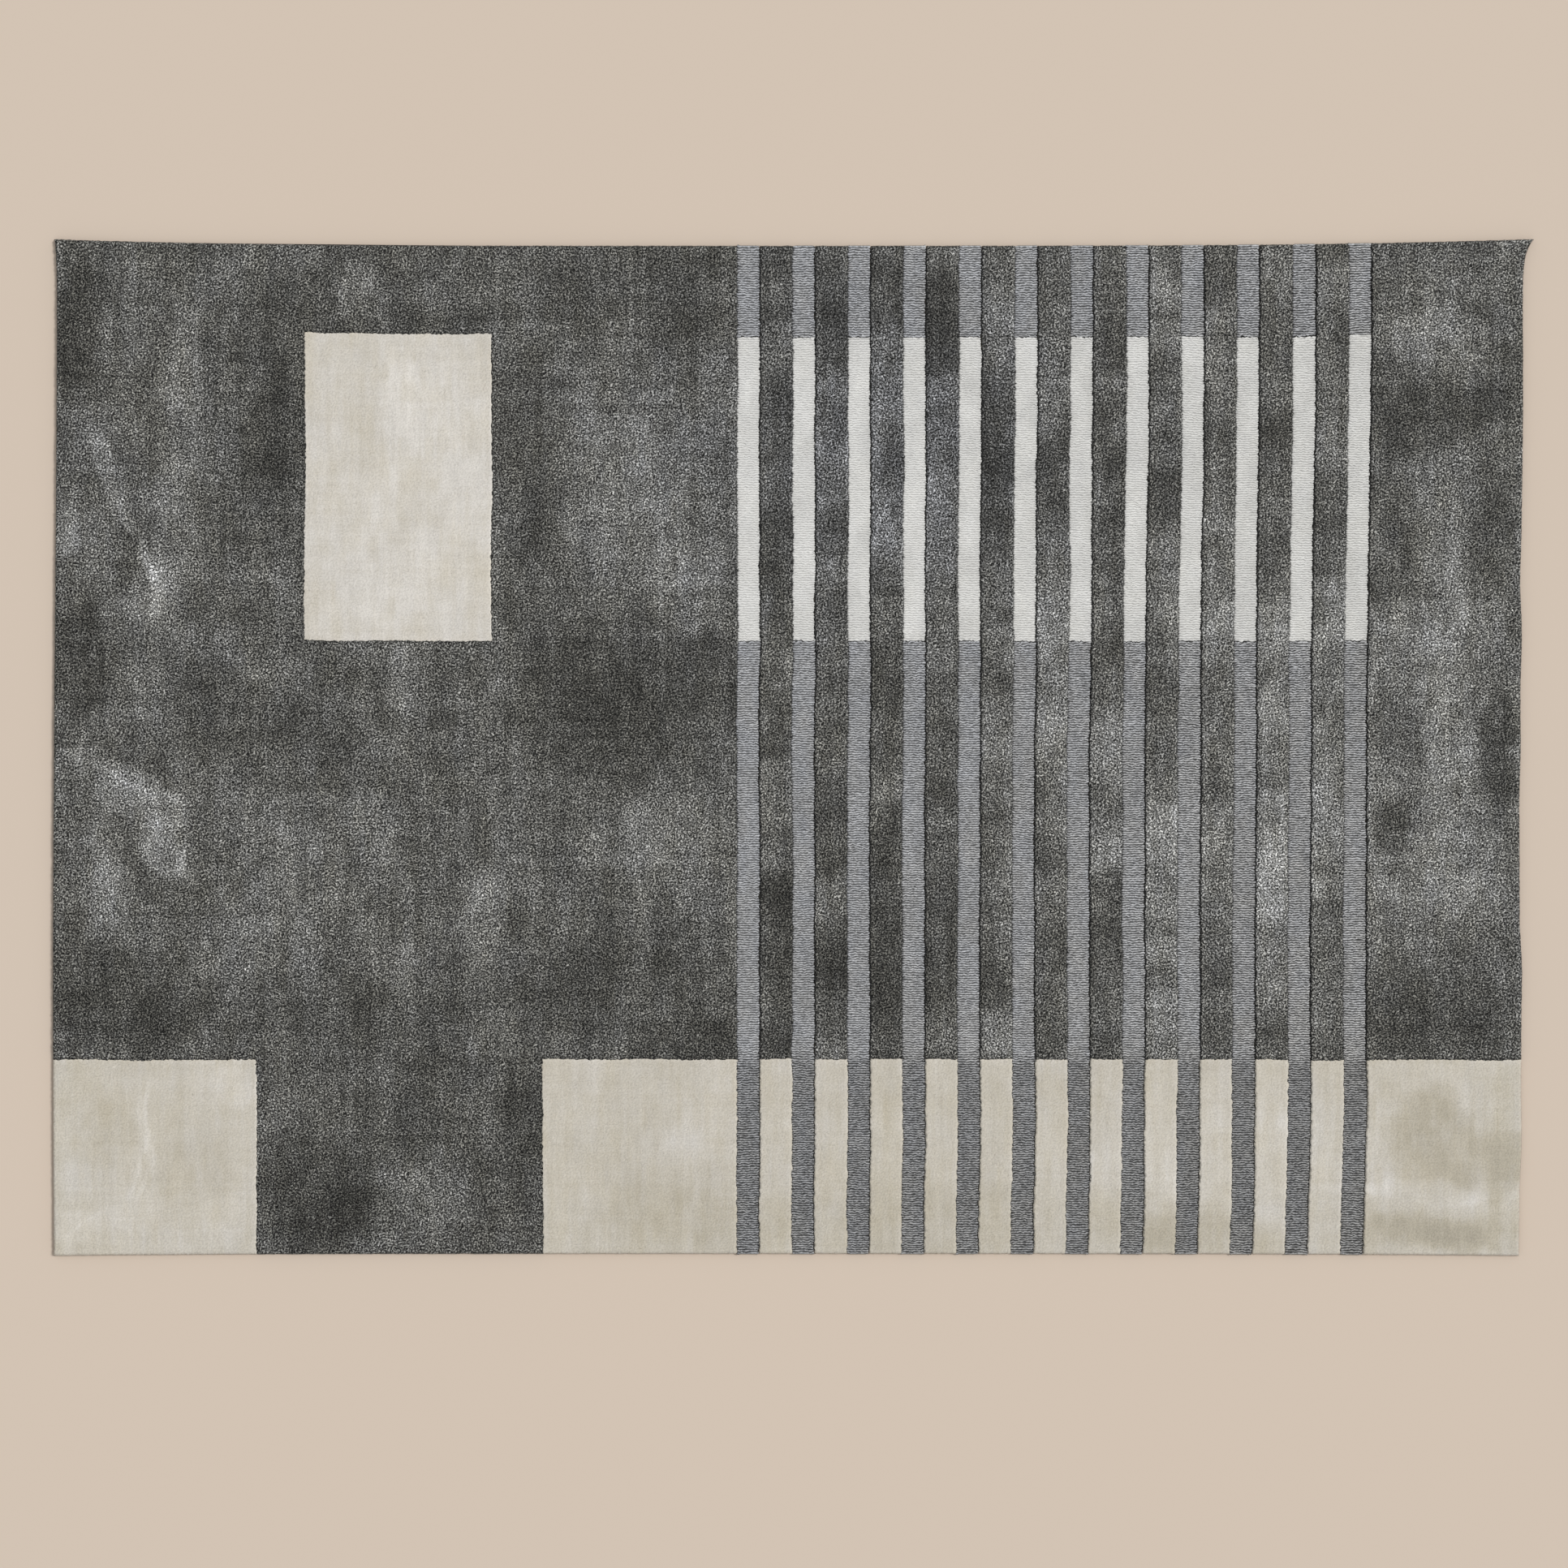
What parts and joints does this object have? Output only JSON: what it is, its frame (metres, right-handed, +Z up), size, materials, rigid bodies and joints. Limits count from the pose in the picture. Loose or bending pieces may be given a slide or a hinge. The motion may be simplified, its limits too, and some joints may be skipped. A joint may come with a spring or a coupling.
{
  "type": "area rug",
  "caption": "Rectangular area rug with charcoal cut pile, cream cut-pile blocks, and narrow lower loop-pile stripes in grey and ivory, on a glued cloth back.",
  "frame": {"origin": "middle of the flat underside, where the rug rests on the floor", "axes": "+X along the rug's length, towards the striped end; +Y across its width, away from the cream band; +Z up out of the pile"},
  "size_m": [2.926, 2.009, 0.0143],
  "materials": {
    "charcoal_cut_pile": "lustrous cut viscose pile, brushed, with lighter and darker shading",
    "cream_cut_pile": "lustrous cut viscose pile, brushed, warm cream with cooler shading",
    "grey_loop_pile": "matt wool loops in rows",
    "ivory_loop_pile": "matt wool loops in rows",
    "ground_cloth": "plain-woven cotton, matt",
    "latex": "dried latex, matt with a slight skin",
    "canvas": "plain-woven cotton canvas, matt",
    "hem_tape": "twill cotton tape, matt, stitched along both edges"
  },
  "bodies": {
    "root": {"charcoal_pile_field": "charcoal_cut_pile", "charcoal_pile_right_field": "charcoal_cut_pile", "charcoal_pile_strip_01": "charcoal_cut_pile", "charcoal_pile_strip_02": "charcoal_cut_pile", "charcoal_pile_strip_03": "charcoal_cut_pile", "charcoal_pile_strip_04": "charcoal_cut_pile", "charcoal_pile_strip_05": "charcoal_cut_pile", "charcoal_pile_strip_06": "charcoal_cut_pile", "charcoal_pile_strip_07": "charcoal_cut_pile", "charcoal_pile_strip_08": "charcoal_cut_pile", "charcoal_pile_strip_09": "charcoal_cut_pile", "charcoal_pile_strip_10": "charcoal_cut_pile", "charcoal_pile_strip_11": "charcoal_cut_pile", "cream_pile_window": "cream_cut_pile", "cream_pile_corner_block": "cream_cut_pile", "cream_pile_band_left": "cream_cut_pile", "cream_pile_band_right": "cream_cut_pile", "cream_pile_strip_01": "cream_cut_pile", "cream_pile_strip_02": "cream_cut_pile", "cream_pile_strip_03": "cream_cut_pile", "cream_pile_strip_04": "cream_cut_pile", "cream_pile_strip_05": "cream_cut_pile", "cream_pile_strip_06": "cream_cut_pile", "cream_pile_strip_07": "cream_cut_pile", "cream_pile_strip_08": "cream_cut_pile", "cream_pile_strip_09": "cream_cut_pile", "cream_pile_strip_10": "cream_cut_pile", "cream_pile_strip_11": "cream_cut_pile", "grey_loop_stripe_01": "grey_loop_pile", "grey_loop_stripe_02": "grey_loop_pile", "grey_loop_stripe_03": "grey_loop_pile", "grey_loop_stripe_04": "grey_loop_pile", "grey_loop_stripe_05": "grey_loop_pile", "grey_loop_stripe_06": "grey_loop_pile", "grey_loop_stripe_07": "grey_loop_pile", "grey_loop_stripe_08": "grey_loop_pile", "grey_loop_stripe_09": "grey_loop_pile", "grey_loop_stripe_10": "grey_loop_pile", "grey_loop_stripe_11": "grey_loop_pile", "grey_loop_stripe_12": "grey_loop_pile", "ivory_loop_inset_01": "ivory_loop_pile", "ivory_loop_inset_02": "ivory_loop_pile", "ivory_loop_inset_03": "ivory_loop_pile", "ivory_loop_inset_04": "ivory_loop_pile", "ivory_loop_inset_05": "ivory_loop_pile", "ivory_loop_inset_06": "ivory_loop_pile", "ivory_loop_inset_07": "ivory_loop_pile", "ivory_loop_inset_08": "ivory_loop_pile", "ivory_loop_inset_09": "ivory_loop_pile", "ivory_loop_inset_10": "ivory_loop_pile", "ivory_loop_inset_11": "ivory_loop_pile", "ivory_loop_inset_12": "ivory_loop_pile", "ground_cloth": "ground_cloth", "latex_coat": "latex", "backing_canvas": "canvas", "hem_tape_top": "hem_tape", "hem_tape_bottom": "hem_tape", "hem_tape_left": "hem_tape", "hem_tape_right": "hem_tape"}
  },
  "joints": []
}
